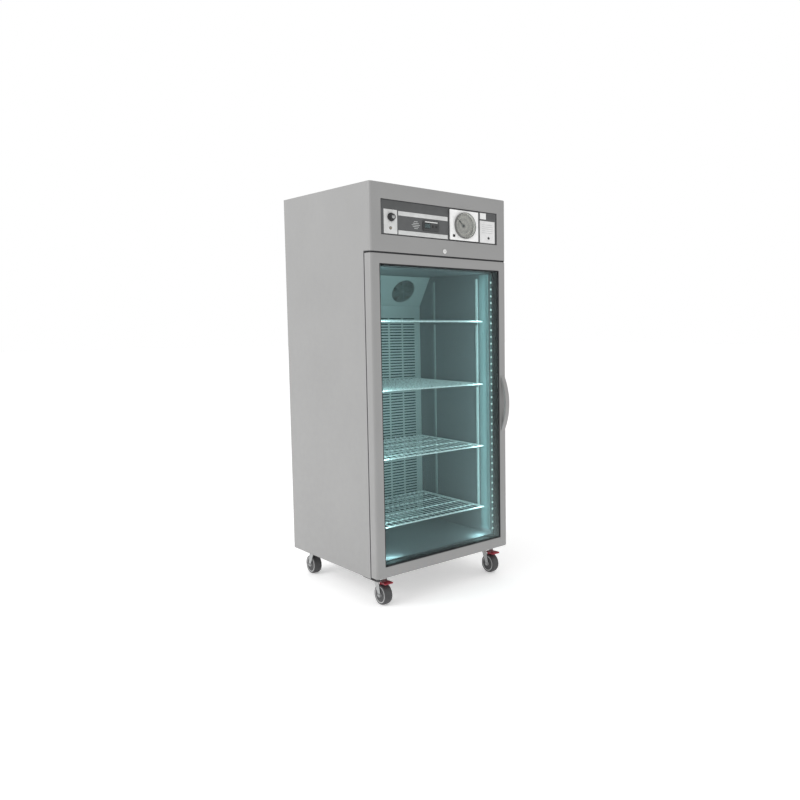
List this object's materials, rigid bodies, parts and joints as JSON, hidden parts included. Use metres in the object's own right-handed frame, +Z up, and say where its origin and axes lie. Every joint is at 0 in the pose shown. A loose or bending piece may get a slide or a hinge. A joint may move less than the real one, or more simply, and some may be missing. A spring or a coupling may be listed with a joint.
{
  "type": "proofing cabinet",
  "caption": "Upright proofing cabinet with a glass door, lit chamber with wire shelves, slanted fan housing, chart recorder header and braked swivel casters.",
  "frame": {"origin": "on the floor, at the centre of the footprint, door handle included", "axes": "+X to the viewer's right, +Y from the door to the back, +Z up"},
  "size_m": [0.82, 0.86, 2],
  "materials": {
    "painted_grey": "satin light grey paint",
    "fascia": "fine matte dark grey",
    "pale_plate": "smooth off-white",
    "black_plastic": "matte black",
    "display": "dark glossy lens",
    "lamp_lens": "amber translucent lens",
    "chart_paper": "greyish chart paper with fine rings",
    "clear_window": "clear polished",
    "lock_metal": "polished",
    "stainless": "fine brushed",
    "chrome_wire": "bright plated",
    "zinc": "zinc plated",
    "foam": "rigid closed-cell foam",
    "lamp_cover": "frosted, lit from behind",
    "light_dots": "lit lenses on a pale strip",
    "door_glass": "clear with a faint green tint",
    "rubber_black": "matte black rubber",
    "caster_tread": "dark grey tread",
    "red_pedal": "moulded red",
    "heater_metal": "heat-tinted",
    "tank_plastic": "off-white moulded"
  },
  "bodies": {
    "cabinet": {"side_panel_left": "painted_grey", "side_panel_right": "painted_grey", "top_panel": "painted_grey", "back_panel": "painted_grey", "base_panel": "painted_grey", "insulation_boards": "foam", "inner_liner": "stainless", "header_cover": "painted_grey", "fascia_panel": "fascia", "switch_plate": "pale_plate", "pilot_lamp": "lamp_lens", "trim_bars": "pale_plate", "controller_case": "black_plastic", "controller_display": "display", "recorder_case": "black_plastic", "info_plate": "pale_plate", "hinge_brackets": "zinc", "duct_panel": "stainless", "fan_housing": "stainless", "fan_guards": "black_plastic", "fan_motors": "black_plastic", "heater_element": "heater_metal", "humidifier": "tank_plastic", "shelf_posts": "stainless", "shelf_runners": "stainless", "shelf_1": "chrome_wire", "shelf_2": "chrome_wire", "shelf_3": "chrome_wire", "shelf_4": "chrome_wire", "lamp_covers": "lamp_cover", "light_strips": "light_dots", "caster_plates": "zinc", "mains_inlet": "black_plastic"},
    "main_switch": {"switch_knob": "black_plastic"},
    "key_up": {"button_up": "pale_plate"},
    "key_down": {"button_down": "pale_plate"},
    "recorder_door": {"recorder_door": "pale_plate", "recorder_window": "clear_window"},
    "recorder_lock": {"recorder_lock": "black_plastic"},
    "chart": {"chart_disc": "chart_paper"},
    "pen": {"pen_arm": "black_plastic"},
    "alarm_key": {"alarm_button": "black_plastic"},
    "header_lock": {"door_lock": "lock_metal"},
    "fan_left": {"fan_rotor_left": "black_plastic"},
    "fan_right": {"fan_rotor_right": "black_plastic"},
    "door": {"door_frame": "painted_grey", "door_glass": "door_glass", "glazing_bead": "rubber_black", "door_gasket": "rubber_black", "door_handle": "painted_grey"},
    "caster_front_left": {"fork_front_left": "zinc"},
    "wheel_front_left": {"wheel_front_left": "caster_tread"},
    "caster_front_right": {"fork_front_right": "zinc"},
    "wheel_front_right": {"wheel_front_right": "caster_tread"},
    "caster_back_left": {"fork_back_left": "zinc"},
    "wheel_back_left": {"wheel_back_left": "caster_tread"},
    "caster_back_right": {"fork_back_right": "zinc"},
    "wheel_back_right": {"wheel_back_right": "caster_tread"},
    "pedal_left": {"brake_pedal_left": "red_pedal"},
    "pedal_right": {"brake_pedal_right": "red_pedal"}
  },
  "joints": [
    {"name": "door_hinge", "type": "hinge", "parent": "cabinet", "child": "door", "pos_m": [-0.396, -0.372, 0.913], "axis": [0, 0, -1], "range_deg": [0, 115]},
    {"name": "switch_turn", "type": "hinge", "parent": "cabinet", "child": "main_switch", "pos_m": [-0.296, -0.388, 1.846], "axis": [0, 1, 0], "range_deg": [0, 90]},
    {"name": "key_up_press", "type": "slide", "parent": "cabinet", "child": "key_up", "axis": [0, 1, 0], "range_m": [0, 0.0012], "stiffness_N_per_m": 400},
    {"name": "key_down_press", "type": "slide", "parent": "cabinet", "child": "key_down", "axis": [0, 1, 0], "range_m": [0, 0.0012], "stiffness_N_per_m": 400},
    {"name": "alarm_key_press", "type": "slide", "parent": "cabinet", "child": "alarm_key", "axis": [0, 1, 0], "range_m": [0, 0.0015], "stiffness_N_per_m": 400},
    {"name": "recorder_door_hinge", "type": "hinge", "parent": "cabinet", "child": "recorder_door", "pos_m": [0.22, -0.39185, 1.844], "axis": [0, 0, 1], "range_deg": [0, 110]},
    {"name": "recorder_lock_turn", "type": "hinge", "parent": "recorder_door", "child": "recorder_lock", "pos_m": [0.065, -0.392, 1.79], "axis": [0, 1, 0], "range_deg": [0, 90]},
    {"name": "chart_spin", "type": "hinge", "parent": "cabinet", "child": "chart", "pos_m": [0.133, -0.3862, 1.844], "axis": [0, 1, 0], "continuous": true},
    {"name": "pen_swing", "type": "hinge", "parent": "cabinet", "child": "pen", "pos_m": [0.081, -0.3878, 1.89], "axis": [0, 1, 0], "range_deg": [-35, 35]},
    {"name": "header_lock_turn", "type": "hinge", "parent": "cabinet", "child": "header_lock", "pos_m": [0.009, -0.386, 1.709], "axis": [0, 1, 0], "range_deg": [0, 90]},
    {"name": "fan_left_spin", "type": "hinge", "parent": "cabinet", "child": "fan_left", "pos_m": [-0.2, 0.2475, 1.538], "axis": [0, -0.8422, -0.5392], "continuous": true},
    {"name": "fan_right_spin", "type": "hinge", "parent": "cabinet", "child": "fan_right", "pos_m": [0.2, 0.2475, 1.538], "axis": [0, -0.8422, -0.5392], "continuous": true},
    {"name": "swivel_front_left", "type": "hinge", "parent": "cabinet", "child": "caster_front_left", "pos_m": [-0.34, -0.3, 0.13], "axis": [0, 0, 1], "continuous": true},
    {"name": "roll_front_left", "type": "hinge", "parent": "caster_front_left", "child": "wheel_front_left", "pos_m": [-0.34, -0.328, 0.05], "axis": [1, 0, 0], "continuous": true},
    {"name": "swivel_front_right", "type": "hinge", "parent": "cabinet", "child": "caster_front_right", "pos_m": [0.34, -0.3, 0.13], "axis": [0, 0, 1], "continuous": true},
    {"name": "roll_front_right", "type": "hinge", "parent": "caster_front_right", "child": "wheel_front_right", "pos_m": [0.34, -0.328, 0.05], "axis": [1, 0, 0], "continuous": true},
    {"name": "swivel_back_left", "type": "hinge", "parent": "cabinet", "child": "caster_back_left", "pos_m": [-0.34, 0.322, 0.13], "axis": [0, 0, 1], "continuous": true},
    {"name": "roll_back_left", "type": "hinge", "parent": "caster_back_left", "child": "wheel_back_left", "pos_m": [-0.34, 0.35, 0.05], "axis": [1, 0, 0], "continuous": true},
    {"name": "swivel_back_right", "type": "hinge", "parent": "cabinet", "child": "caster_back_right", "pos_m": [0.34, 0.322, 0.13], "axis": [0, 0, 1], "continuous": true},
    {"name": "roll_back_right", "type": "hinge", "parent": "caster_back_right", "child": "wheel_back_right", "pos_m": [0.34, 0.35, 0.05], "axis": [1, 0, 0], "continuous": true},
    {"name": "brake_left", "type": "hinge", "parent": "caster_front_left", "child": "pedal_left", "pos_m": [-0.34, -0.313, 0.112], "axis": [-1, 0, 0], "range_deg": [0, 12]},
    {"name": "brake_right", "type": "hinge", "parent": "caster_front_right", "child": "pedal_right", "pos_m": [0.34, -0.313, 0.112], "axis": [-1, 0, 0], "range_deg": [0, 12]}
  ]
}
